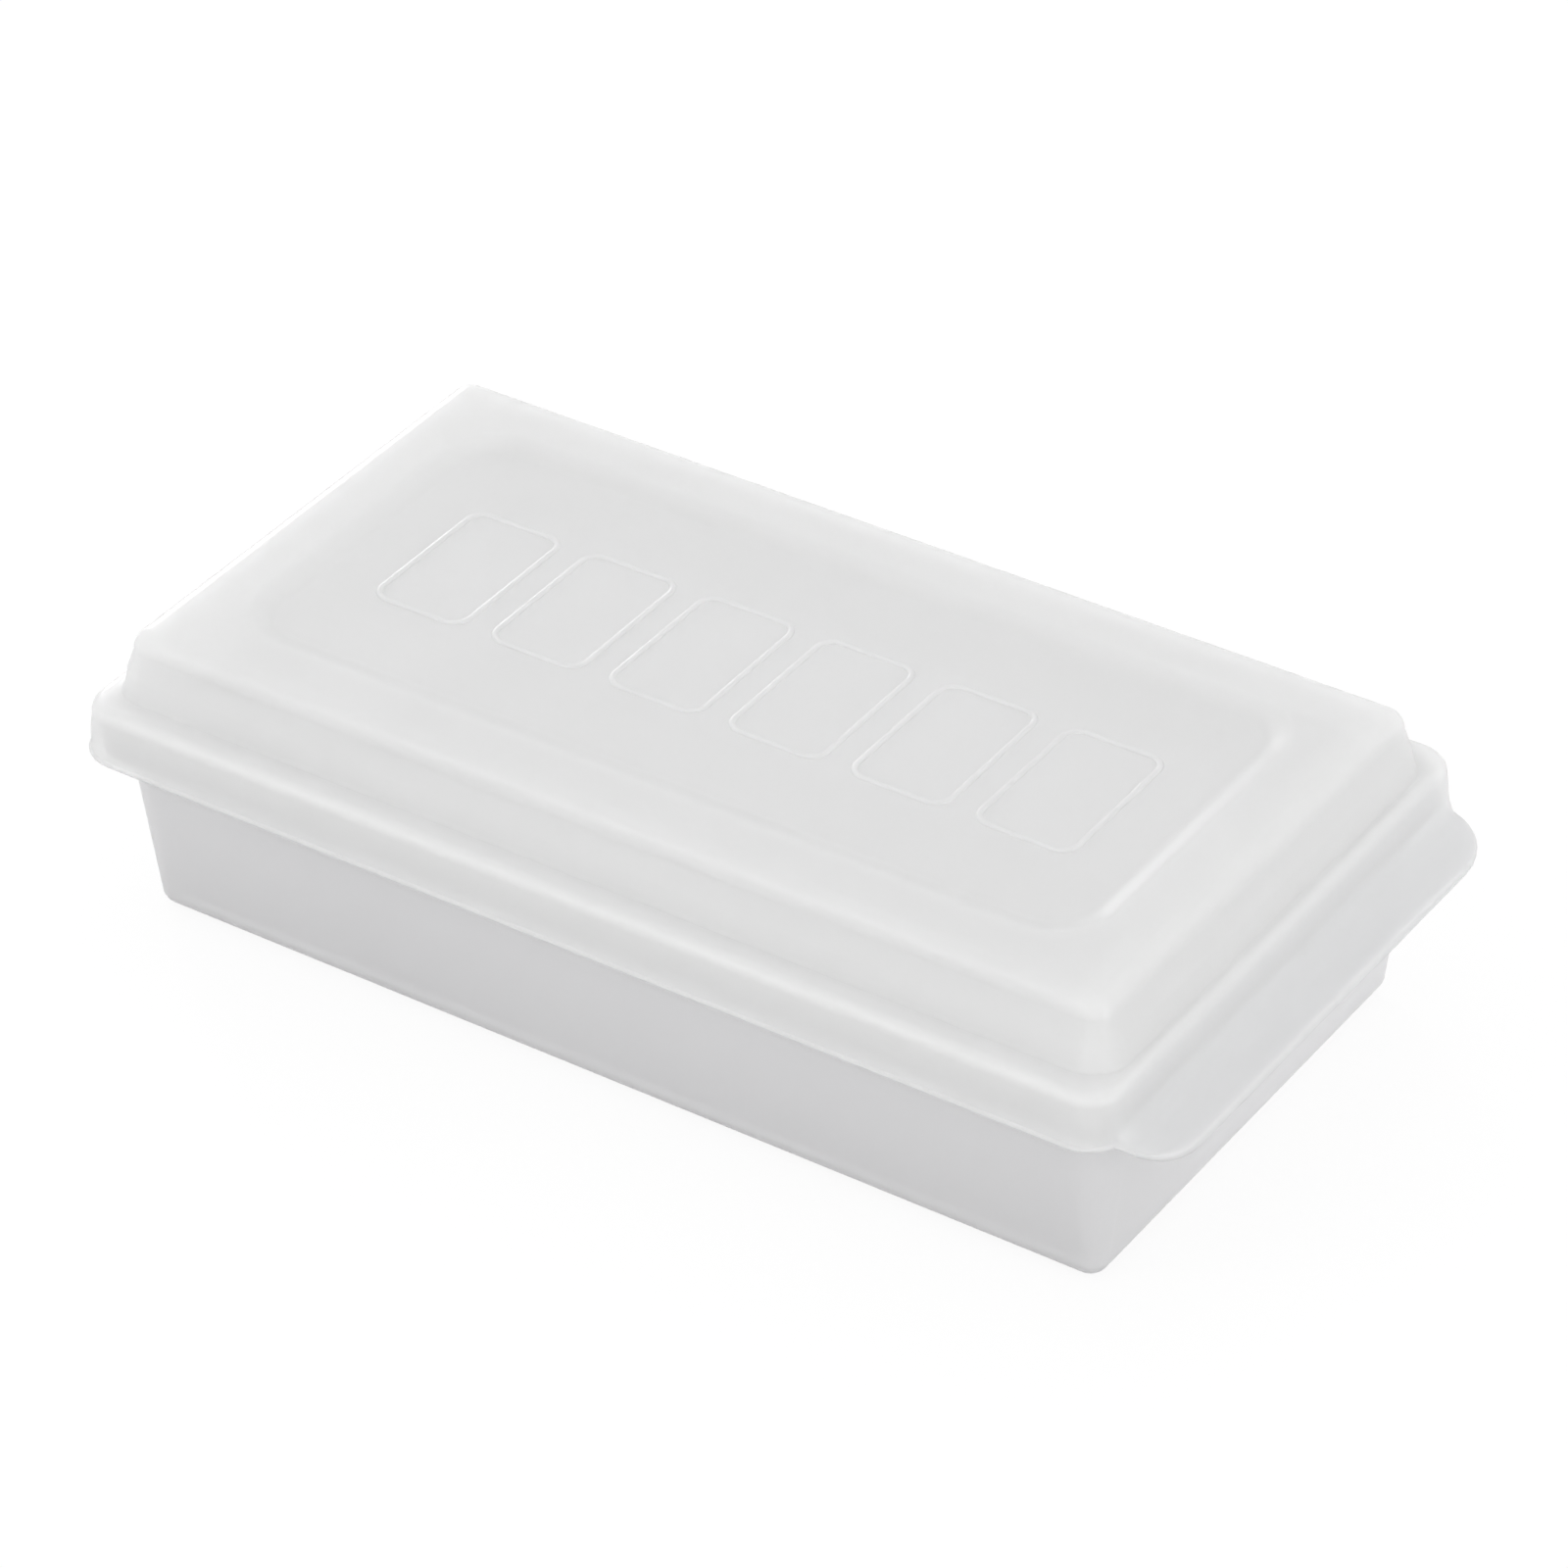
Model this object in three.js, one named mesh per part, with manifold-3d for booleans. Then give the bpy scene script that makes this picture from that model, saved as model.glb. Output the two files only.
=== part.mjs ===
// A butter cutting box: a tapered tray, a wire cutter that lies on the tray's rim, and a lid with a finger lip.
// Millimetres. X runs along the box towards the lid's lip, Y runs across it, and Z is up.
// The origin is under the middle of the tray, on the surface that the box stands on.
import * as THREE from "three";
import { mergeVertices } from "three/addons/utils/BufferGeometryUtils.js";
import Module from "manifold-3d";

// Lid, from its skirt inwards
const LID_LENGTH = 162; // outside, along the skirt's lower edge, without the lip
const LID_WIDTH = 91;
const LID_CORNER = 6.2;
const LID_WALL = 1.5;
const SKIRT_HEIGHT = 8.2; // from the lower edge to the top of the ledge
const SKIRT_DRAFT = 0.5; // how far each side leans in over that height
const SHOULDER_ROUND = 2.1;
const LEDGE_END = 2.8; // width of the ledge at the short ends
const LEDGE_SIDE = 4.8; // width of the ledge along the long sides
const LEDGE_ROUND = 0.6; // hollow rounding where the ledge meets the plateau
const PLATEAU_RISE = 9.4; // from the ledge to the top
const PLATEAU_DRAFT = 1.6;
const PLATEAU_CORNER = 4.8;
const PLATEAU_ROUND = 3.1;
const PANEL_MARGIN = 12; // from the plateau's edge to the floor of the sunk panel
const PANEL_DEPTH = 1.5;
const PANEL_SLOPE = 2.4; // how far the panel's sides lean over that depth
const PANEL_CORNER = 6.5;

// Finger lip, on the lid's +X end
const LIP_START = 4.2; // below the ledge, where the skirt begins to flare
const LIP_REACH = 6.6;
const LIP_DROP = 4.6;
const LIP_WIDTH = 67; // along its straight edge
const LIP_RUNOUT = 8.5; // beyond that edge, where it runs back into the skirt

// Tray
const TRAY_HEIGHT = 28.9;
const TRAY_WALL = 1.5;
const TRAY_FLOOR = 1.6;
const TRAY_DRAFT = 2.7; // how far each wall leans out from floor to rim
const TRAY_CORNER = 2.8; // at the foot
const TRAY_ROUND = 2.7; // between the walls and the underside
const RIM_CLEARANCE = 0.5; // between the rim and the lid's skirt
const RIM_THICKNESS = 1.5;
const RIM_END = 1; // how far the rim stands out beyond the end walls
const RIM_SIDE = 3.3; // how far it stands out beyond the long walls
const RIM_ROUND = 0.5;

// Cutter: a frame that carries the wires, and a cap with an upright collar, pegged over them
const CROSS_WIRES = 14;
const MOUTH_CORNER = 1.6; // of the opening that the butter is pressed through
const END_BAR = 12.3; // width of the frame and cap at the short ends
const CUTTER_INSET = 0.3; // inside the edge of the rim
const FRAME_THICKNESS = 3;
const CAP_THICKNESS = 1.2;
const CUTTER_ROUND = 0.5;
const SPIGOT_DEPTH = 2.5; // how far the frame reaches down inside the tray
const SPIGOT_WALL = 1.4; // at the short ends; along the sides it is flush with the mouth
const SPIGOT_CLEARANCE = 1;
const COLLAR_HEIGHT = 5.6; // above the cap, up inside the lid's plateau
const COLLAR_WALL = 1;
const COLLAR_CLEARANCE = 0.2; // to the plateau's long walls, where they are narrowest
const WIRE = 0.5;
const BEAD = 1.4; // crimped bead on each end of a wire
const BEAD_LENGTH = 1.6;
const PEG = 2.2;
const PEG_END_GAP = 0.5; // from a peg's tip to the rim that the frame lies on
const PEG_COLUMNS = [-6, -2, 2, 6]; // counted in pieces from the middle

const GAP = 0.3; // between pieces that lie on or in each other
const OVERRUN = 1; // how far a cut runs past the face that it opens
const SMALLEST_CORNER = 0.4;

// How finely round shapes are divided
const CORNER_STEPS = 6;
const ROUND_STEPS = 3;
const LIP_STEPS = 4;
const END_STEPS = 4;
const WIRE_SIDES = 8;
const PEG_SIDES = 12;
const QUARTER = Math.PI / 2;

// Heights, from the table up
const frameZ = TRAY_HEIGHT + GAP;
const capZ = frameZ + FRAME_THICKNESS + GAP;
const ledgeZ = capZ + CAP_THICKNESS + GAP + LID_WALL;
const skirtZ = ledgeZ - SKIRT_HEIGHT;
const flareZ = ledgeZ - LIP_START;
const topZ = ledgeZ + PLATEAU_RISE;
const panelZ = topZ - PANEL_DEPTH;
const crossWireZ = frameZ + FRAME_THICKNESS - BEAD / 2;
const longWireZ = crossWireZ - WIRE - GAP;

// A plan is a rounded rectangle: half its length, half its width and its corner radius.
const inset = (plan, by) => ({ x: plan.x - by, y: plan.y - by, r: Math.max(plan.r - by, SMALLEST_CORNER) });
const at = (plan, z) => ({ ...plan, z });

const skirt = { x: LID_LENGTH / 2, y: LID_WIDTH / 2, r: LID_CORNER };
const shoulder = inset(skirt, SKIRT_DRAFT);
const plateauFoot = { x: shoulder.x - LEDGE_END, y: shoulder.y - LEDGE_SIDE, r: PLATEAU_CORNER };
const crown = inset(plateauFoot, PLATEAU_DRAFT);
const panel = { ...inset(crown, PANEL_MARGIN), r: PANEL_CORNER };
const panelEdge = inset(panel, -PANEL_SLOPE);

const rim = inset(skirt, LID_WALL + RIM_CLEARANCE);
const trayTop = { x: rim.x - RIM_END, y: rim.y - RIM_SIDE, r: TRAY_CORNER + TRAY_DRAFT };
const trayFoot = inset(trayTop, TRAY_DRAFT);

const cutterEdge = inset(rim, CUTTER_INSET);
const spigot = inset(trayTop, TRAY_WALL + SPIGOT_CLEARANCE);
const mouth = {
  x: cutterEdge.x - END_BAR,
  y: crown.y - LID_WALL - COLLAR_CLEARANCE - COLLAR_WALL,
  r: MOUTH_CORNER,
};
const collar = inset(mouth, -COLLAR_WALL);
const pieceLength = (2 * mouth.x) / (CROSS_WIRES + 1);
const endBarMiddle = (mouth.x + cutterEdge.x) / 2;
const sideBarMiddle = (mouth.y + cutterEdge.y) / 2;
const pegMiddle = (spigot.y + cutterEdge.y) / 2;

// The outline of a plan, anticlockwise seen from above. Its +X side can have extra points, closest together
// towards the corners.
function outline({ x, y, r }, endSteps = 0) {
  const points = [];
  for (let k = 1 - endSteps; k < endSteps; k++)
    points.push(new THREE.Vector2(x, (y - r) * Math.sin((k / endSteps) * QUARTER)));
  const corners = [[1, 1], [-1, 1], [-1, -1], [1, -1]];
  corners.forEach(([sideX, sideY], i) => {
    for (let k = 0; k <= CORNER_STEPS; k++) {
      const angle = (i + k / CORNER_STEPS) * QUARTER;
      points.push(new THREE.Vector2(sideX * (x - r) + r * Math.cos(angle), sideY * (y - r) + r * Math.sin(angle)));
    }
  });
  return points;
}

// One row of a loft: the outline of a plan at its height.
const level = (plan, endSteps) => outline(plan, endSteps).map((p) => new THREE.Vector3(p.x, p.y, plan.z));

// Plans round an outside edge, from the wall in to the flat face at height z. Side is 1 for a top edge and -1
// for a bottom one.
function edgeRound(wall, z, round, side = 1) {
  const plans = [];
  for (let k = 0; k <= ROUND_STEPS; k++) {
    const angle = (k / ROUND_STEPS) * QUARTER;
    plans.push(at(inset(wall, round * (1 - Math.cos(angle))), z - side * round * (1 - Math.sin(angle))));
  }
  return plans;
}

// Plans up the hollow rounding between a flat face at height z and the wall that rises inside it.
function hollowRound(wall, z, round) {
  const plans = [];
  for (let k = 0; k <= ROUND_STEPS; k++) {
    const angle = (k / ROUND_STEPS) * QUARTER;
    plans.push(at(inset(wall, -round * (1 - Math.sin(angle))), z + round * (1 - Math.cos(angle))));
  }
  return plans;
}

// A closed body through rows of as many points each. The first and last row are either capped or joined.
function loft(rows, capped = true) {
  const count = rows[0].length;
  const vertices = rows.flat();
  const faces = [];
  const bands = capped ? rows.length - 1 : rows.length;
  for (let i = 0; i < bands; i++)
    for (let j = 0; j < count; j++) {
      const next = (j + 1) % count;
      const [low, high] = [i * count, ((i + 1) % rows.length) * count];
      faces.push(low + j, low + next, high + next, low + j, high + next, high + j);
    }
  const ends = capped ? [0, rows.length - 1] : [];
  for (const row of ends) {
    const middle = new THREE.Vector3();
    rows[row].forEach((point) => middle.addScaledVector(point, 1 / count));
    vertices.push(middle);
    for (let j = 0; j < count; j++) {
      const edge = [row * count + j, row * count + ((j + 1) % count)];
      faces.push(vertices.length - 1, ...(row === 0 ? edge.reverse() : edge));
    }
  }
  return new THREE.BufferGeometry().setFromPoints(vertices).setIndex(faces);
}

const wasm = await Module();
wasm.setup();

// A geometry as a solid that can be cut and joined, and back.
function solidOf(geometry) {
  const bare = geometry.clone();
  bare.deleteAttribute("normal");
  bare.deleteAttribute("uv");
  const merged = mergeVertices(bare);
  const vertProperties = merged.getAttribute("position").array;
  const triVerts = new Uint32Array(merged.index.array);
  return new wasm.Manifold(new wasm.Mesh({ numProp: 3, vertProperties, triVerts }));
}

function geometryOf(solid) {
  const { vertProperties, triVerts } = solid.getMesh();
  return new THREE.BufferGeometry()
    .setAttribute("position", new THREE.BufferAttribute(vertProperties, 3))
    .setIndex(new THREE.BufferAttribute(triVerts, 1));
}

// Tray: a tapered box with a round foot and a flat rim that stands out under the lid's skirt.
function trayGeometry() {
  const rimUnder = TRAY_HEIGHT - RIM_THICKNESS;
  const inside = inset(trayTop, TRAY_WALL);
  const floorEdge = inset(trayFoot, TRAY_WALL);
  const floorRound = Math.max(TRAY_ROUND - TRAY_WALL, SMALLEST_CORNER);
  const plans = [
    ...edgeRound(trayFoot, 0, TRAY_ROUND, -1).reverse(),
    at(trayTop, rimUnder),
    at(rim, rimUnder),
    ...edgeRound(rim, TRAY_HEIGHT, RIM_ROUND),
    at(inside, TRAY_HEIGHT),
    ...edgeRound(floorEdge, TRAY_FLOOR, floorRound, -1),
  ];
  return loft(plans.map((plan) => level(plan)));
}

// Lid: one moulding, from the underside of its sunk panel out and down to the skirt's edge, and back over the top.
function lidGeometry() {
  const insideRound = Math.max(PLATEAU_ROUND - LID_WALL, SMALLEST_CORNER);
  const shoulderInsideRound = Math.max(SHOULDER_ROUND - LID_WALL, SMALLEST_CORNER);
  const inside = [
    at(inset(panel, -LID_WALL), panelZ - LID_WALL),
    at(inset(panelEdge, -LID_WALL), topZ - LID_WALL),
    ...edgeRound(inset(crown, LID_WALL), topZ - LID_WALL, insideRound).reverse(),
    at(inset(plateauFoot, LID_WALL), ledgeZ - LID_WALL),
    ...edgeRound(inset(shoulder, LID_WALL), ledgeZ - LID_WALL, shoulderInsideRound).reverse(),
  ];
  const outside = [
    ...edgeRound(shoulder, ledgeZ, SHOULDER_ROUND),
    ...hollowRound(plateauFoot, ledgeZ, LEDGE_ROUND),
    ...edgeRound(crown, topZ, PLATEAU_ROUND),
    at(panelEdge, topZ),
    at(panel, panelZ),
  ];
  const rows = (plans) => plans.map((plan) => level(plan, END_STEPS));
  const skirtEdge = [...flare(LID_WALL), ...flare(0).reverse()];
  return loft([...rows(inside), ...skirtEdge, ...rows(outside)]);
}

// How much of the lip each point of the skirt's outline carries, from none to all.
function lipShares() {
  return outline(skirt, END_STEPS).map((point) => {
    const beyond = Math.max(Math.abs(point.y) - LIP_WIDTH / 2, 0) / LIP_RUNOUT;
    return point.x > 0 && beyond < 1 ? Math.sqrt(1 - beyond ** 2) : 0;
  });
}

// Rows down the lower skirt, on its face that lies this deep inside the wall. On the lip they curve outwards.
function flare(depth) {
  const shares = lipShares();
  const straightDrop = flareZ - skirtZ;
  const rows = [];
  for (let k = 0; k <= LIP_STEPS; k++) {
    const angle = (k / LIP_STEPS) * QUARTER;
    const lean = (SKIRT_DRAFT * (straightDrop * (1 - Math.sin(angle)))) / SKIRT_HEIGHT;
    rows.push(
      outline(inset(skirt, depth + lean), END_STEPS).map((point, j) => {
        const drop = straightDrop + shares[j] * (LIP_DROP + depth - straightDrop);
        const reach = shares[j] * (LIP_REACH + depth);
        return new THREE.Vector3(
          point.x + reach * (1 - Math.cos(angle)),
          point.y,
          flareZ - drop * Math.sin(angle),
        );
      }),
    );
  }
  return rows;
}

// Places of the wires and pegs
const crossWirePlaces = Array.from({ length: CROSS_WIRES }, (_, i) => (i - (CROSS_WIRES - 1) / 2) * pieceLength);
const pegPlaces = PEG_COLUMNS.flatMap((column) =>
  [-1, 1].map((side) => new THREE.Vector2(column * pieceLength, side * pegMiddle)),
);

// A wire along Y with a crimped bead centred on each end of its span.
function wireGeometry(halfSpan) {
  const end = halfSpan + BEAD_LENGTH / 2;
  const neck = halfSpan - BEAD_LENGTH / 2;
  const profile = [
    [0, -end],
    [BEAD / 2, -end],
    [BEAD / 2, -neck],
    [WIRE / 2, -neck],
    [WIRE / 2, neck],
    [BEAD / 2, neck],
    [BEAD / 2, end],
    [0, end],
  ];
  return new THREE.LatheGeometry(profile.map(([x, y]) => new THREE.Vector2(x, y)), WIRE_SIDES);
}

// The space that such a wire takes out of the frame, open upwards: a groove with a pocket for each bead.
function wireSeats(halfSpan, wireZ) {
  const top = frameZ + FRAME_THICKNESS + OVERRUN;
  const box = (thickness, length, y) => {
    const width = thickness + 2 * GAP;
    const bottom = wireZ - width / 2;
    return solidOf(new THREE.BoxGeometry(width, length, top - bottom).translate(0, y, (top + bottom) / 2));
  };
  const pocketLength = BEAD_LENGTH + 2 * GAP;
  return box(WIRE, 2 * halfSpan, 0)
    .add(box(BEAD, pocketLength, halfSpan))
    .add(box(BEAD, pocketLength, -halfSpan));
}

// An upright round pin between two heights, at a place in plan.
function upright(diameter, low, high, place) {
  const pin = new THREE.CylinderGeometry(diameter / 2, diameter / 2, high - low, PEG_SIDES).rotateX(QUARTER);
  return solidOf(pin.translate(place.x, place.y, (low + high) / 2));
}

// Cutter frame: a ring on the tray's rim, with a spigot that drops inside the tray, and seats for wires and pegs.
function cutterFrameGeometry() {
  const top = frameZ + FRAME_THICKNESS;
  const spigotInside = { ...mouth, x: spigot.x - SPIGOT_WALL };
  const [foot, root] = [frameZ - SPIGOT_DEPTH, frameZ + FRAME_THICKNESS / 2];
  const ring = (...plans) => solidOf(loft(plans.map((plan) => level(plan)), false));
  const plate = ring(
    at(cutterEdge, frameZ),
    ...edgeRound(cutterEdge, top, CUTTER_ROUND),
    at(mouth, top),
    at(mouth, frameZ),
  );
  const wall = ring(at(spigot, foot), at(spigot, root), at(spigotInside, root), at(spigotInside, foot));
  let frame = plate.add(wall);
  for (const x of crossWirePlaces) frame = frame.subtract(wireSeats(sideBarMiddle, crossWireZ).translate([x, 0, 0]));
  frame = frame.subtract(wireSeats(endBarMiddle, longWireZ).rotate([0, 0, THREE.MathUtils.radToDeg(QUARTER)]));
  for (const place of pegPlaces)
    frame = frame.subtract(upright(PEG + 2 * GAP, frameZ - OVERRUN, top + OVERRUN, place));
  return geometryOf(frame);
}

// Cutter cap: a thin ring over the wires, with an upright collar round the mouth and pegs that press down into the
// frame.
function cutterCapGeometry() {
  const top = capZ + CAP_THICKNESS;
  const plans = [
    at(cutterEdge, capZ),
    ...edgeRound(cutterEdge, top, CUTTER_ROUND),
    at(collar, top),
    at(collar, top + COLLAR_HEIGHT),
    at(mouth, top + COLLAR_HEIGHT),
    at(mouth, capZ),
  ];
  let cap = solidOf(loft(plans.map((plan) => level(plan)), false));
  for (const place of pegPlaces) cap = cap.add(upright(PEG, frameZ + PEG_END_GAP, top - CUTTER_ROUND, place));
  return geometryOf(cap);
}

// Materials
const milkyPlastic = new THREE.MeshStandardMaterial({ color: 0xe6e8ec, roughness: 0.45, metalness: 0 });
const whitePlastic = new THREE.MeshStandardMaterial({ color: 0xf1f1ef, roughness: 0.5, metalness: 0 });
const steel = new THREE.MeshStandardMaterial({ color: 0xb9bcc0, roughness: 0.25, metalness: 1 });

function piece(name, geometry, material) {
  geometry.computeVertexNormals();
  const mesh = new THREE.Mesh(geometry, material.clone());
  mesh.name = name;
  return mesh;
}

// The cutter: its two rings and the wires between them
const cutter = new THREE.Group();
cutter.add(piece("cutter_frame", cutterFrameGeometry(), whitePlastic));
cutter.add(piece("cutter_cap", cutterCapGeometry(), whitePlastic));
const longWire = piece("long_wire", wireGeometry(endBarMiddle), steel);
longWire.rotation.z = QUARTER;
longWire.position.z = longWireZ;
cutter.add(longWire);
crossWirePlaces.forEach((x, i) => {
  const number = String(i + 1).padStart(2, "0");
  const wire = piece(`cross_wire_${number}`, wireGeometry(sideBarMiddle), steel);
  wire.position.set(x, 0, crossWireZ);
  cutter.add(wire);
});

// The whole box, closed
const box = new THREE.Group();
box.add(piece("tray", trayGeometry(), milkyPlastic));
box.add(cutter);
box.add(piece("lid", lidGeometry(), milkyPlastic));

export default box;
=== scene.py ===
# A butter cutting box in milky plastic: a tapered tray, a lift-out cutter of steel wires, and a stepped lid.
import math
import bpy
from mathutils import Matrix, Vector


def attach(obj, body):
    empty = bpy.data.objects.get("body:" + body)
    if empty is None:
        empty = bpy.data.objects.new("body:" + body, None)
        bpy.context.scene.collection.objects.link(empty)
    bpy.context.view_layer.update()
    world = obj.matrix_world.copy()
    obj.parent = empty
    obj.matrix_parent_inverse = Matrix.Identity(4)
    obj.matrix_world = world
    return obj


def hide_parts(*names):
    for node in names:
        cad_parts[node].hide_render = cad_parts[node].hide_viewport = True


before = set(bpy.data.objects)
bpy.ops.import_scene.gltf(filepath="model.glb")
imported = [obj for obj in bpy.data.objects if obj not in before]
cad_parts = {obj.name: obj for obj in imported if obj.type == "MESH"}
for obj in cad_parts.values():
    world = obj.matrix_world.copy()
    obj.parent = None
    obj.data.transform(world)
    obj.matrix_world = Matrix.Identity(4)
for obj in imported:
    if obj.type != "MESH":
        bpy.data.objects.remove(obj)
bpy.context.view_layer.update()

# Tray: a tapered box for the block of butter, injection moulded in milky polypropylene with walls of 1.5 mm. Its
# foot is well rounded, and its flat rim stands out under the lid's skirt and carries the cutter.
MM = 0.001
WALL = 1.5
TRAY_HEIGHT = 28.9
TRAY_FLOOR = 1.6
RIM_THICKNESS = 1.5
RIM_UNDER = TRAY_HEIGHT - RIM_THICKNESS
# A plan is half a length, half a width and a corner radius.
RIM = (79.0, 43.5, 4.2)
TRAY_TOP = (78.0, 40.2, 5.5)
TRAY_FOOT = (75.3, 37.5, 2.8)
LEAST_CORNER = 0.05
FOOT_ROUNDING = 2.7
FLOOR_ROUNDING = 1.2
NECK_ROUNDING = 0.5
RIM_LOWER_ROUNDING = 0.3
RIM_UPPER_ROUNDING = 0.5
TRAY_MOUTH_ROUNDING = 0.4
POLYPROPYLENE_IOR = 1.49
EVEN_SPREAD = (1.0, 1.0, 1.0)
# The tray's colours are deeper than the lid's: painted shade for the tray lying under the lid's skirt.
TRAY_PALE = (0.88, 0.877, 0.887)
TRAY_DEEP = (0.85, 0.846, 0.86)
TRAY_BODY = 0.88


def inset(plan, by):
    """A plan drawn in by some millimetres, or let out by a negative number of them."""
    x, y, r = plan
    return (x - by, y - by, max(r - by, LEAST_CORNER))


def ring(plan, z, corner_steps=14, end_steps=0):
    """Points round a rounded rectangle at one height, anticlockwise from above, starting on the +X side."""
    x, y, r = plan
    points = [(x, (y - r) * math.sin(math.pi / 2 * k / end_steps), z) for k in range(1 - end_steps, end_steps)]
    for quarter, (sx, sy) in enumerate(((1, 1), (-1, 1), (-1, -1), (1, -1))):
        for k in range(corner_steps + 1):
            a = math.pi / 2 * (quarter + k / corner_steps)
            points.append((sx * (x - r) + r * math.cos(a), sy * (y - r) + r * math.sin(a), z))
    return points


def edge(wall, z, radius, side=1, steps=8):
    """Plans with heights round an outside edge, from the wall in to the flat face at z."""
    turns = [math.pi / 2 * k / steps for k in range(steps + 1)]
    return [(inset(wall, radius * (1 - math.cos(a))), z - side * radius * (1 - math.sin(a))) for a in turns]


def hollow(wall, z, radius, side=1, steps=6):
    """Plans with heights up the hollow rounding from the flat face at z to the wall that rises inside it."""
    turns = [math.pi / 2 * k / steps for k in range(steps + 1)]
    return [(inset(wall, -radius * (1 - math.sin(a))), z + side * radius * (1 - math.cos(a))) for a in turns]


def skin(rows, closed=False):
    """Corners and faces through rows of points. The two ends are flat faces, unless the last row joins the first."""
    count = len(rows[0])
    corners = [p for row in rows for p in row]
    faces = []
    for i in range(len(rows) if closed else len(rows) - 1):
        low, high = i * count, (i + 1) % len(rows) * count
        faces += [(low + j, low + (j + 1) % count, high + (j + 1) % count, high + j) for j in range(count)]
    if not closed:
        faces.append(tuple(reversed(range(count))))
        faces.append(tuple(range(len(corners) - count, len(corners))))
    return corners, faces


def gathered(name, solids):
    """One smooth mesh object of several solids in millimetres."""
    corners, faces = [], []
    for points, sides in solids:
        faces += [tuple(i + len(corners) for i in side) for side in sides]
        corners += [Vector(p) * MM for p in points]
    mesh = bpy.data.meshes.new(name)
    mesh.from_pydata(corners, [], faces)
    mesh.shade_smooth()
    piece = bpy.data.objects.new(name, mesh)
    bpy.context.scene.collection.objects.link(piece)
    return piece


def shell(name, rows, closed=False):
    """One smooth mesh object through rows of points."""
    return gathered(name, [skin(rows, closed)])


class Amount:
    """A number, colour or direction that changes over a surface: one socket of a finish, for use in sums."""

    def __init__(self, finish, socket):
        self.finish, self.socket = finish, socket

    def math(self, operation, first, second):
        return self.finish.node("ShaderNodeMath", {"operation": operation}, {0: first, 1: second})["Value"]

    def __add__(self, other):
        return self.math("ADD", self, other)

    def __mul__(self, other):
        return self.math("MULTIPLY", self, other)

    def __sub__(self, other):
        return self.math("SUBTRACT", self, other)

    def __rsub__(self, other):
        return self.math("SUBTRACT", other, self)

    __radd__ = __add__
    __rmul__ = __mul__


class Finish:
    """The nodes that make a material, or the light of the room."""

    def __init__(self, owner):
        self.owner = owner
        owner.use_nodes = True
        self.nodes = owner.node_tree.nodes
        self.links = owner.node_tree.links
        self.nodes.clear()

    def node(self, kind, settings=None, sockets=None):
        """Adds a node and returns its outputs by name."""
        made = self.nodes.new(kind)
        for key, value in (settings or {}).items():
            setattr(made, key, value)
        for key, value in (sockets or {}).items():
            socket = made.inputs[key] if isinstance(key, int) else next(
                s for s in made.inputs if s.name == key and s.enabled)
            if isinstance(value, Amount):
                self.links.new(value.socket, socket)
            else:
                socket.default_value = value
        return {s.name: Amount(self, s) for s in made.outputs if s.enabled}

    def place(self):
        """The place on the piece."""
        return self.node("ShaderNodeTexCoord")["Object"]

    def stretched(self, place, x, y, z):
        """A place scaled along each axis, for marks that run one way."""
        return self.node("ShaderNodeVectorMath", {"operation": "MULTIPLY"}, {0: place, 1: (x, y, z)})["Vector"]

    def noise(self, place, size_mm, detail=3.0):
        """Noise from 0 to 1 with blots of about that size."""
        sockets = {"Vector": place, "Scale": 1 / (size_mm * MM), "Detail": detail}
        return self.node("ShaderNodeTexNoise", {}, sockets)["Fac"]

    def blend(self, share, first, second):
        """One colour turning into another."""
        sockets = {"Factor": share, "A": first, "B": second}
        return self.node("ShaderNodeMix", {"data_type": "RGBA"}, sockets)["Result"]

    def rise(self, amount, start, end):
        """A soft step from 0 to 1 while an amount goes from start to end."""
        sockets = {"Value": amount, "From Min": start, "From Max": end}
        return self.node("ShaderNodeMapRange", {"interpolation_type": "SMOOTHSTEP"}, sockets)["Result"]

    def relief(self, height, strength, depth, under=None):
        """The direction of a surface with fine relief of a depth in metres, over a coarser one if there is one."""
        sockets = {"Strength": strength, "Distance": depth, "Height": height}
        if under is not None:
            sockets["Normal"] = under
        return self.node("ShaderNodeBump", {}, sockets)["Normal"]

    def surface(self, shader, output="ShaderNodeOutputMaterial"):
        """Gives the owner its shader."""
        self.node(output, {}, {"Surface": shader})
        return self.owner


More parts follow.
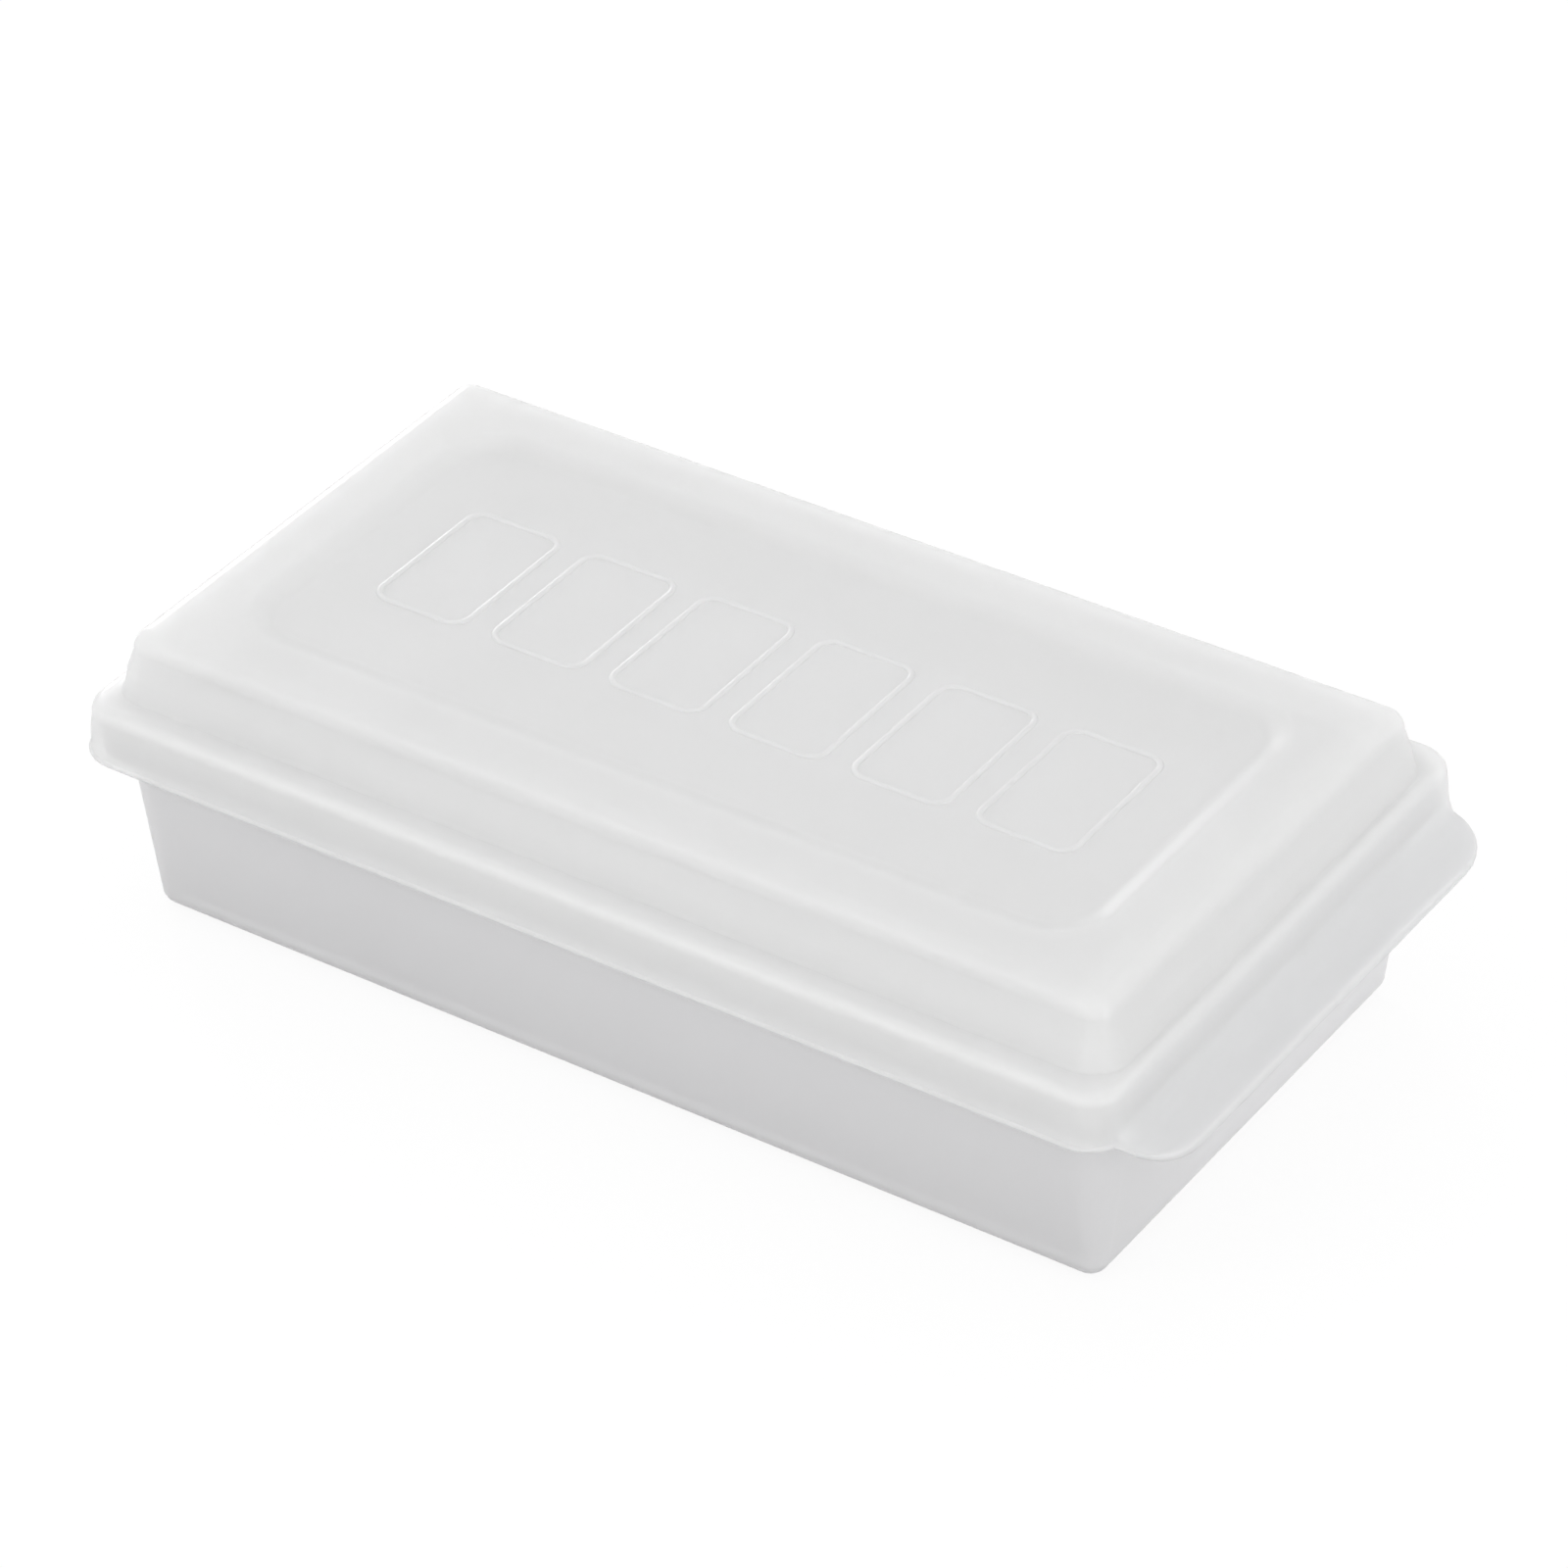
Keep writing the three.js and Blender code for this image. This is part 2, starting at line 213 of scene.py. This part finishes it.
def milky_plastic(name, pale, deep, body, lip=None):
    """Polypropylene that lets light through: cloudy inside, with a fine satin grain and the flow of the moulding.

    The body is the share that isn't seen through. A lip is given by where along the box it starts and where it is
    full, in millimetres, and by its own body and colour: there the plastic is thick and less clear, and its deeper
    colour is painted shade of the shaded table seen through it.
    """
    finish = Finish(bpy.data.materials.new(name))
    place = finish.place()
    clouds = finish.noise(place, size_mm=26, detail=2.0)
    flow = finish.noise(finish.stretched(place, 0.25, 1.0, 1.0), size_mm=9)
    grain = finish.noise(place, size_mm=0.35, detail=2.0)
    specks = finish.noise(place, size_mm=2.2, detail=4.0)
    colour = finish.blend(clouds * 0.6 + flow * 0.4, pale + (1,), deep + (1,))
    if lip:
        lip_start, lip_full, lip_body, lip_shade_colour = lip
        along = finish.node("ShaderNodeSeparateXYZ", {}, {"Vector": place})["X"]
        # On the lip the plastic is less clear, and its deeper colour is painted shade of the shaded table under it.
        thick_and_shaded = finish.rise(along, lip_start * MM, lip_full * MM)
        body = body + (lip_body - body) * thick_and_shaded
        colour = finish.blend(thick_and_shaded, colour, lip_shade_colour + (1,))
    waves = finish.relief(flow, strength=0.10, depth=0.0006)
    plastic = finish.node("ShaderNodeBsdfPrincipled", {"subsurface_method": "RANDOM_WALK"}, {
        "Base Color": colour,
        "Roughness": 0.29 + 0.06 * specks,
        "Normal": finish.relief(grain, strength=0.12, depth=0.00006, under=waves),
        "IOR": POLYPROPYLENE_IOR,
        "Subsurface Weight": 1.0,
        "Subsurface Radius": EVEN_SPREAD,
        "Subsurface Scale": 0.0022,
        "Alpha": body,
    })["BSDF"]
    return finish.surface(plastic)


tray = shell("tray_moulding", [ring(plan, z) for plan, z in (
    *reversed(edge(TRAY_FOOT, 0, FOOT_ROUNDING, side=-1, steps=12)),
    *reversed(hollow(TRAY_TOP, RIM_UNDER, NECK_ROUNDING, side=-1)),
    *reversed(edge(RIM, RIM_UNDER, RIM_LOWER_ROUNDING, side=-1, steps=4)),
    *edge(RIM, TRAY_HEIGHT, RIM_UPPER_ROUNDING),
    *hollow(inset(TRAY_TOP, WALL), TRAY_HEIGHT, TRAY_MOUTH_ROUNDING, side=-1),
    *edge(inset(TRAY_FOOT, WALL), TRAY_FLOOR, FLOOR_ROUNDING, side=-1),
)])
tray.data.materials.append(milky_plastic("milky tray plastic", TRAY_PALE, TRAY_DEEP, TRAY_BODY))
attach(tray, "tray")
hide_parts("tray")

# Cutter frame: the moulded ring that lies on the tray's rim. Its spigot drops inside the tray and keeps it in place,
# and grooves and pockets across its top hold the wires. It is white polypropylene, less clear than the box.
FRAME_Z = 29.2
FRAME_TOP = 32.2
MOUTH = (66.4, 35.9, 1.6)
CUTTER_EDGE = (78.7, 43.2, 3.9)
CUTTER_ROUNDING = 0.5
FRAME_FINE_ROUNDING = 0.3
SPIGOT = (75.5, 37.7, 3.0)
SPIGOT_INSIDE = (74.1, 35.9, 1.6)
SPIGOT_BOTTOM = 26.7
SPIGOT_ROUNDING = 0.4
# The spigot ends inside the frame, so that the two join, and what cuts the frame stands 1 mm out of it.
SPIGOT_TOP = FRAME_TOP - 1
CUT_TOP = FRAME_TOP + 1
CUT_BOTTOM = FRAME_Z - 1
CREASE_DEGREES = 35
CROSS_WIRES = 14
CROSS_WIRE_Z = 31.5
LONG_WIRE_Z = 30.7
GROOVE = 0.55
POCKET = 1.0
POCKET_LENGTH = 1.1
SLICE = 2 * MOUTH[0] / (CROSS_WIRES + 1)
SLEEVE_X = (MOUTH[0] + CUTTER_EDGE[0]) / 2
SLEEVE_Y = (MOUTH[1] + CUTTER_EDGE[1]) / 2
PEG_COLUMNS = (-6, -2, 2, 6)
PEG_Y = (SPIGOT[1] + CUTTER_EDGE[1]) / 2
PEG_HOLE_RADIUS = 1.4
wire_places = [(i - (CROSS_WIRES - 1) / 2) * SLICE for i in range(CROSS_WIRES)]
peg_places = [(column * SLICE, side * PEG_Y) for column in PEG_COLUMNS for side in (-1, 1)]


def cut(x, y, z, half_x, half_y, depth):
    """Corners and faces of a block that cuts into the frame from above, round a middle, to a depth under z."""
    xs, ys, zs = (x - half_x, x + half_x), (y - half_y, y + half_y), (z - depth, CUT_TOP)
    corners = [(i, j, k) for i in xs for j in ys for k in zs]
    return corners, [(0, 1, 3, 2), (4, 6, 7, 5), (0, 4, 5, 1), (2, 3, 7, 6), (0, 2, 6, 4), (1, 5, 7, 3)]


def pin(x, y, low, high, radius, sides=28):
    """Corners and faces of an upright round pin."""
    turns = [2 * math.pi * k / sides for k in range(sides)]
    corners = [(x + radius * math.cos(a), y + radius * math.sin(a), z) for z in (low, high) for a in turns]
    faces = [(k, (k + 1) % sides, sides + (k + 1) % sides, sides + k) for k in range(sides)]
    return corners, faces + [tuple(reversed(range(sides))), tuple(range(sides, 2 * sides))]


def worked(piece, tool, operation, plastic):
    """Cuts or joins a piece with a tool, takes the tool away and gives the piece its plastic."""
    change = piece.modifiers.new(operation.title(), "BOOLEAN")
    change.operation, change.object, change.solver = operation, tool, "EXACT"
    change.use_self = True
    view = bpy.context.evaluated_depsgraph_get()
    mesh = bpy.data.meshes.new_from_object(piece.evaluated_get(view))
    piece.modifiers.clear()
    piece.data = mesh
    bpy.data.objects.remove(tool)
    mesh.shade_smooth()
    mesh.set_sharp_from_angle(angle=math.radians(CREASE_DEGREES))
    mesh.materials.clear()
    mesh.materials.append(plastic)


def white_plastic():
    """Polypropylene with more white in it than the box's, satin and faintly speckled."""
    finish = Finish(bpy.data.materials.new("white cutter plastic"))
    place = finish.place()
    clouds = finish.noise(place, size_mm=18, detail=2.0)
    grain = finish.noise(place, size_mm=0.3, detail=2.0)
    specks = finish.noise(place, size_mm=1.6, detail=4.0)
    plastic = finish.node("ShaderNodeBsdfPrincipled", {"subsurface_method": "RANDOM_WALK"}, {
        "Base Color": finish.blend(clouds, (0.88, 0.88, 0.872, 1), (0.85, 0.85, 0.844, 1)),
        "Roughness": 0.34 + 0.14 * specks,
        "Normal": finish.relief(grain, strength=0.15, depth=0.00005),
        "IOR": POLYPROPYLENE_IOR,
        "Subsurface Weight": 0.6,
        "Subsurface Radius": EVEN_SPREAD,
        "Subsurface Scale": 0.0009,
    })["BSDF"]
    return finish.surface(plastic)


cutter_plastic = white_plastic()
cutter_frame = shell("cutter_frame_moulding", [ring(plan, z) for plan, z in (
    *reversed(edge(CUTTER_EDGE, FRAME_Z, FRAME_FINE_ROUNDING, side=-1, steps=4)),
    *edge(CUTTER_EDGE, FRAME_TOP, CUTTER_ROUNDING, steps=6),
    *hollow(MOUTH, FRAME_TOP, FRAME_FINE_ROUNDING, side=-1, steps=4),
    *reversed(hollow(MOUTH, FRAME_Z, FRAME_FINE_ROUNDING, steps=4)),
)], closed=True)
spigot = shell("spigot", [ring(plan, z) for plan, z in (
    *reversed(edge(SPIGOT, SPIGOT_BOTTOM, SPIGOT_ROUNDING, side=-1, steps=4)),
    (SPIGOT, SPIGOT_TOP),
    (SPIGOT_INSIDE, SPIGOT_TOP),
    *reversed(hollow(SPIGOT_INSIDE, SPIGOT_BOTTOM, SPIGOT_ROUNDING, steps=4)),
)], closed=True)
worked(cutter_frame, spigot, "UNION", cutter_plastic)
seats = []
for x in wire_places:
    seats.append(cut(x, 0, CROSS_WIRE_Z, GROOVE, SLEEVE_Y, GROOVE))
    seats += [cut(x, y, CROSS_WIRE_Z, POCKET, POCKET_LENGTH, POCKET) for y in (-SLEEVE_Y, SLEEVE_Y)]
seats.append(cut(0, 0, LONG_WIRE_Z, SLEEVE_X, GROOVE, GROOVE))
seats += [cut(x, 0, LONG_WIRE_Z, POCKET_LENGTH, POCKET, POCKET) for x in (-SLEEVE_X, SLEEVE_X)]
seats += [pin(x, y, CUT_BOTTOM, CUT_TOP, PEG_HOLE_RADIUS) for x, y in peg_places]
worked(cutter_frame, gathered("seats", seats), "DIFFERENCE", cutter_plastic)
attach(cutter_frame, "cutter")
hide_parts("cutter_frame")

# Wires: drawn stainless steel of 0.5 mm, one along the box and fourteen across it. A sleeve crimped on each end sits
# in its pocket in the frame and takes the tension.
WIRE_RADIUS = 0.25
BARE_START = 0.9
# The sleeve's radius at places along it, from its middle. It is pressed in there, and its ends are rounded.
SLEEVE = [(0.3, -0.8), (0.58, -0.78), (0.68, -0.66), (0.7, -0.45), (0.6, -0.2), (0.56, 0),
          (0.6, 0.2), (0.7, 0.45), (0.68, 0.66), (0.58, 0.78), (0.27, 0.8)]


def turned(name, profile, sides=20):
    """A round bar along Y from (radius, place) pairs in millimetres."""
    turns = [2 * math.pi * k / sides for k in range(sides)]
    return shell(name, [[(r * math.sin(a), y, r * math.cos(a)) for a in turns] for r, y in profile])


def wire_profile(half):
    """Radii along a wire: a sleeve, the bare wire and a sleeve again."""
    left = [(r, y - half) for r, y in SLEEVE]
    bare = [(WIRE_RADIUS, y) for y in (BARE_START - half, 0, half - BARE_START)]
    right = [(r, half - y) for r, y in reversed(SLEEVE)]
    return left + bare + right


def drawn_steel():
    """Bright steel with the fine lines of the drawing and a little tarnish."""
    finish = Finish(bpy.data.materials.new("drawn steel wire"))
    place = finish.place()
    draw_lines = finish.noise(finish.stretched(place, 1.0, 0.04, 1.0), size_mm=0.12, detail=2.0)
    tarnish = finish.noise(place, size_mm=6, detail=3.0)
    steel = finish.node("ShaderNodeBsdfPrincipled", {}, {
        "Base Color": finish.blend(tarnish, (0.60, 0.60, 0.61, 1), (0.50, 0.50, 0.505, 1)),
        "Metallic": 1.0,
        "Roughness": 0.22 + 0.12 * draw_lines,
        "Normal": finish.relief(draw_lines, strength=0.2, depth=0.00002),
    })["BSDF"]
    return finish.surface(steel)


steel = drawn_steel()
long_wire = turned("long_wire_drawn", wire_profile(SLEEVE_X))
long_wire.data.transform(Matrix.Translation((0, 0, LONG_WIRE_Z * MM)) @ Matrix.Rotation(math.pi / 2, 4, "Z"))
wires = [(long_wire, "long_wire")]
for i, x in enumerate(wire_places):
    wire = turned(f"cross_wire_{i + 1:02d}_drawn", wire_profile(SLEEVE_Y))
    wire.data.transform(Matrix.Translation((x * MM, 0, CROSS_WIRE_Z * MM)))
    wires.append((wire, f"cross_wire_{i + 1:02d}"))
for wire, node in wires:
    wire.data.materials.append(steel)
    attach(wire, "cutter")
    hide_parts(node)

# Cutter cap: the thin ring that closes the wires' pockets. Its pegs press into the frame, and its upright collar
# keeps the block of butter straight, is the grip for lifting the cutter, and shows through the lid.
CAP_Z = 32.5
CAP_TOP = 33.7
CAP_FINE_ROUNDING = 0.15
COLLAR_TOP = CAP_TOP + 5.6
COLLAR_WALL = 1.0
COLLAR = inset(MOUTH, -COLLAR_WALL)
COLLAR_ROUNDING = 0.35
COLLAR_FOOT_ROUNDING = 0.4
PEG_BOTTOM = 29.7
PEG_TOP = CAP_TOP - 0.5
PEG_RADIUS = 1.1
cutter_cap = shell("cutter_cap_moulding", [ring(plan, z) for plan, z in (
    *reversed(edge(CUTTER_EDGE, CAP_Z, CAP_FINE_ROUNDING, side=-1, steps=3)),
    *edge(CUTTER_EDGE, CAP_TOP, CUTTER_ROUNDING, steps=6),
    *hollow(COLLAR, CAP_TOP, COLLAR_FOOT_ROUNDING),
    *edge(COLLAR, COLLAR_TOP, COLLAR_ROUNDING, steps=6),
    *hollow(MOUTH, COLLAR_TOP, COLLAR_ROUNDING, side=-1, steps=6),
    *reversed(hollow(MOUTH, CAP_Z, CAP_FINE_ROUNDING, steps=3)),
)], closed=True)
pegs = gathered("pegs", [pin(x, y, PEG_BOTTOM, PEG_TOP, PEG_RADIUS) for x, y in peg_places])
worked(cutter_cap, pegs, "UNION", cutter_plastic)
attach(cutter_cap, "cutter")
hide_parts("cutter_cap")

# Lid: one moulding of milky plastic. Its skirt hangs round the tray's rim, ends in a thin bead and flares out into a
# finger lip at one end. A soft shoulder and a narrow ledge lead up to the plateau, and six plain raised outlines
# stand in its shallow sunk panel.
SKIRT = (81.0, 45.5, 6.2)
SKIRT_Z = 27.3
SKIRT_DRAFT = 0.5
BEAD = 0.25
BEAD_HEIGHT = 0.75
BEAD_RUNOUT = 0.3
FLARE_Z = 31.3
LIP_REACH = 6.6
LIP_DROP = 4.6
LIP_HALF = 33.5
LIP_RUNOUT = 8.5
LIP_EDGE = 0.55
LEDGE_Z = 35.5
SHOULDER = inset(SKIRT, SKIRT_DRAFT + BEAD)
SHOULDER_ROUNDING = 1.9
SHOULDER_INSIDE = 0.6
TOP_Z = 44.9
PLATEAU_FOOT = (77.7, 40.2, 4.8)
PLATEAU_DRAFT = 1.6
FOOT_REACH = 0.45
FOOT_RISE = 3.4
FOOT_INSIDE = 1.2
CROWN = inset(PLATEAU_FOOT, PLATEAU_DRAFT)
CROWN_ROUNDING = 3.1
CROWN_INSIDE = 1.6
PANEL_BORDER = 13.0
PANEL = (CROWN[0] - PANEL_BORDER, CROWN[1] - PANEL_BORDER, 5.5)
PANEL_DEPTH = 1.2
PANEL_Z = TOP_Z - PANEL_DEPTH
PANEL_SLOPE = 4.4
OUTLINES = 6
OUTLINE = (7.2, 12.0, 2.4)
OUTLINE_SPACING = 19.0
OUTLINE_HALF_WIDTH = 0.5
OUTLINE_HEIGHT = 0.4
OUTLINE_SINK = 0.1
LID_PALE = (0.96, 0.962, 0.967)
LID_DEEP = (0.945, 0.948, 0.954)
LID_BODY = 0.62
LIP_START = 78.5
LIP_FULL = 82.0
# The lip's deeper colour is painted shade of the shaded table under it.
LIP_SHADE_COLOUR = (0.745, 0.747, 0.752)
LIP_BODY = 0.8


def lid_ring(plan, z):
    """A ring with enough points for the lip to be drawn out of it."""
    return ring(plan, z, corner_steps=32, end_steps=14)


def lip_share(x, y):
    """How far the skirt is drawn out into the lip at a place: 1 along the lip, falling to 0 past its ends."""
    beyond = max(abs(y) - LIP_HALF, 0) / LIP_RUNOUT
    return math.sqrt(1 - beyond ** 2) if x > 0 and beyond < 1 else 0


def flare(depth, steps=12):
    """Rows down the lower skirt, on its face this deep inside the wall. On the lip they curve outwards."""
    drop_all = FLARE_Z - SKIRT_Z
    rows = []
    for k in range(steps + 1):
        a = math.pi / 2 * k / steps
        left = drop_all * (1 - math.sin(a))
        above_bead = min(max((left + LIP_EDGE - BEAD_HEIGHT) / BEAD_RUNOUT, 0), 1)
        lean = SKIRT_DRAFT * left / (LEDGE_Z - SKIRT_Z) + BEAD * above_bead * (depth == 0)
        row = []
        for (x, y, _), share in zip(lid_ring(inset(SKIRT, depth + lean), 0), lip_shares):
            drop = drop_all + share * (LIP_DROP + depth - drop_all) - (1 - share) * LIP_EDGE
            reach = share * (LIP_REACH + depth - LIP_EDGE)
            row.append((x + reach * (1 - math.cos(a)), y, FLARE_Z - drop * math.sin(a)))
        rows.append(row)
    return rows


def lower_edge(inner_row, outer_row, steps=8):
    """Rows round the lower edge of the skirt and the lip, from the inner face to the outer one."""
    rows = []
    for k in range(1, steps):
        a = math.pi * k / steps
        across, out = (1 - math.cos(a)) / 2, LIP_EDGE * math.sin(a)
        row = []
        for inner, outer, share in zip(inner_row, outer_row, lip_shares):
            way = Vector((share, 0, share - 1)).normalized()
            row.append(tuple(Vector(inner).lerp(Vector(outer), across) + out * way))
        rows.append(row)
    return rows


def plateau_foot(steps=10):
    """Plans with heights up the tall soft hollow between the ledge and the plateau's leaning wall."""
    rows = []
    for k in range(steps + 1):
        a = math.pi / 2 * k / steps
        up = FOOT_RISE * (1 - math.cos(a))
        lean = PLATEAU_DRAFT * up / (TOP_Z - LEDGE_Z)
        rows.append((inset(PLATEAU_FOOT, lean - FOOT_REACH * (1 - math.sin(a))), LEDGE_Z + up))
    return rows


def panel_slope(shift, steps=14):
    """Plans with heights down the soft slope from the plateau to the panel, shifted in and down for the inside."""
    rows = []
    for k in range(steps + 1):
        t = k / steps
        sunk = PANEL_DEPTH * t * t * (3 - 2 * t)
        rows.append((inset(PANEL, -PANEL_SLOPE * (1 - t) - shift), TOP_Z - shift - sunk))
    return rows


def raised_outline(middle, sides=16):
    """Corners and faces of a thin raised line round a rounded oblong in the panel."""
    rows = []
    for k in range(sides):
        a = -2 * math.pi * k / sides
        plan = inset(OUTLINE, -OUTLINE_HALF_WIDTH * math.cos(a))
        z = PANEL_Z - OUTLINE_SINK + OUTLINE_HEIGHT * math.sin(a)
        rows.append([(x + middle, y, z) for x, y, z in ring(plan, z, corner_steps=8)])
    return skin(rows, closed=True)


lip_shares = [lip_share(x, y) for x, y, _ in lid_ring(SKIRT, 0)]
inside = [lid_ring(plan, z) for plan, z in (
    *reversed(panel_slope(WALL)),
    *reversed(edge(inset(CROWN, WALL), TOP_Z - WALL, CROWN_INSIDE)),
    *reversed(hollow(inset(PLATEAU_FOOT, WALL), LEDGE_Z - WALL, FOOT_INSIDE)),
    *reversed(edge(inset(SHOULDER, WALL), LEDGE_Z - WALL, SHOULDER_INSIDE)),
)]
outside = [lid_ring(plan, z) for plan, z in (
    *edge(SHOULDER, LEDGE_Z, SHOULDER_ROUNDING),
    *plateau_foot(),
    *edge(CROWN, TOP_Z, CROWN_ROUNDING, steps=12),
    *panel_slope(0),
)]
inner_flare, outer_flare = flare(WALL), flare(0)
turn_under = lower_edge(inner_flare[-1], outer_flare[-1])
lid = shell("lid_moulding", [*inside, *inner_flare, *turn_under, *reversed(outer_flare), *outside])
outlines = gathered("outlines", [
    raised_outline((i - (OUTLINES - 1) / 2) * OUTLINE_SPACING) for i in range(OUTLINES)])
worked(lid, outlines, "UNION", milky_plastic(
    "milky lid plastic", LID_PALE, LID_DEEP, LID_BODY, lip=(LIP_START, LIP_FULL, LIP_BODY, LIP_SHADE_COLOUR)))
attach(lid, "lid")
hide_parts("lid")

# Table: the plain white surface that the box is photographed on. Light that falls from it on the box is weaker
# along a strip in front, so that the front wall deepens towards its foot. What is seen of the table itself is white
# all over, with the box's faint shadow.
TABLE_HALF = 3.0
TABLE_WHITE = 0.8
TABLE_SHADE = 0.36
SHADE_LINE = -0.052
SHADE_REACH = 0.05
SEEN_WHITE = 0.885
SEEN_SHADOW = 0.12
table_mesh = bpy.data.meshes.new("table_top")
table_corners = [(x * TABLE_HALF, y * TABLE_HALF, 0) for x, y in ((-1, -1), (1, -1), (1, 1), (-1, 1))]
table_mesh.from_pydata(table_corners, [], [(0, 1, 2, 3)])
table = bpy.data.objects.new("table_top", table_mesh)
bpy.context.scene.collection.objects.link(table)


def grey(level):
    return (level, level, level, 1)


def plainly_seen(finish):
    """1 for what is seen directly, mirrored or through something, and 0 for light that falls on the box."""
    ways = finish.node("ShaderNodeLightPath")
    return ways["Is Camera Ray"] + ways["Is Glossy Ray"] + ways["Is Transmission Ray"]


paper = Finish(bpy.data.materials.new("white table"))
seen = plainly_seen(paper)
ahead = paper.node("ShaderNodeSeparateXYZ", {}, {"Vector": paper.place()})["Y"]
off_line = paper.node("ShaderNodeMath", {"operation": "ABSOLUTE"}, {0: ahead - SHADE_LINE})["Value"]
bounced = paper.blend(paper.rise(off_line, 0.0, SHADE_REACH), grey(TABLE_SHADE), grey(TABLE_WHITE))
bare = paper.node("ShaderNodeBsdfDiffuse", {}, {"Color": bounced})["BSDF"]
shaded = paper.node("ShaderNodeBsdfDiffuse", {}, {"Color": grey(SEEN_SHADOW)})["BSDF"]
white = paper.node("ShaderNodeEmission", {}, {"Color": grey(1), "Strength": SEEN_WHITE})["Emission"]
shown = paper.node("ShaderNodeAddShader", {}, {0: shaded, 1: white})["Shader"]
either = paper.node("ShaderNodeMixShader", {}, {0: seen, 1: bare, 2: shown})["Shader"]
table_mesh.materials.append(paper.surface(either))

# Light: an even white room, with one soft lamp overhead and four lower ones round the box. The room itself is seen
# as plain white.
ROOM_LIGHT = 0.9
BACKDROP_WHITE = 1.0
LAMP_AIM = Vector((0, 0, 0.03))
bpy.context.scene.world = bpy.data.worlds.new("white room")
room = Finish(bpy.context.scene.world)
seen = plainly_seen(room)
light = room.node("ShaderNodeBackground", {}, {"Color": grey(1), "Strength": ROOM_LIGHT})["Background"]
backdrop = room.node("ShaderNodeBackground", {}, {"Color": grey(1), "Strength": BACKDROP_WHITE})["Background"]
either = room.node("ShaderNodeMixShader", {}, {0: seen, 1: light, 2: backdrop})["Shader"]
room.surface(either, "ShaderNodeOutputWorld")


def lamp(name, place, size, power):
    """A square soft lamp that points at the box."""
    light = bpy.data.lights.new(name, "AREA")
    light.shape, light.size, light.energy = "SQUARE", size, power
    made = bpy.data.objects.new(name, light)
    made.location = place
    made.rotation_euler = (LAMP_AIM - Vector(place)).to_track_quat("-Z", "Y").to_euler()
    bpy.context.scene.collection.objects.link(made)


lamp("lamp_overhead", (0.0, 0.0, 0.9), size=0.8, power=0.4)
lamp("lamp_front_left", (-0.63, -0.9, 0.93), size=0.42, power=1.4)
lamp("lamp_right", (0.94, -0.05, 0.22), size=0.4, power=1.2)
lamp("lamp_back_left", (-0.77, 0.58, 0.24), size=0.2, power=1.8)
lamp("lamp_front", (0.3, -0.92, 0.26), size=0.4, power=0.9)

# Camera: a long lens above and beside the box's near corner, as in the photograph. Its focal length is in pixels of
# a frame 1600 pixels wide, and its turn, dip and tilt are in degrees.
SENSOR_MM = 36.0
FRAME_PIXELS = 1600
FOCAL_PIXELS = 6770.5
CAMERA_PLACE = (0.40671, -0.58933, 0.53744)
CAMERA_TURN, CAMERA_DIP, CAMERA_TILT = 34.40, 35.52, -1.03
lens = bpy.data.cameras.new("camera")
lens.sensor_width = SENSOR_MM
lens.lens = SENSOR_MM * FOCAL_PIXELS / FRAME_PIXELS
lens.clip_end = 20.0
camera = bpy.data.objects.new("camera", lens)
camera.matrix_world = (
    Matrix.Translation(CAMERA_PLACE)
    @ Matrix.Rotation(math.radians(CAMERA_TURN), 4, "Z")
    @ Matrix.Rotation(math.radians(90 - CAMERA_DIP), 4, "X")
    @ Matrix.Rotation(math.radians(CAMERA_TILT), 4, "Z"))
bpy.context.scene.collection.objects.link(camera)
bpy.context.scene.camera = camera
bpy.context.scene.view_settings.view_transform = "Standard"
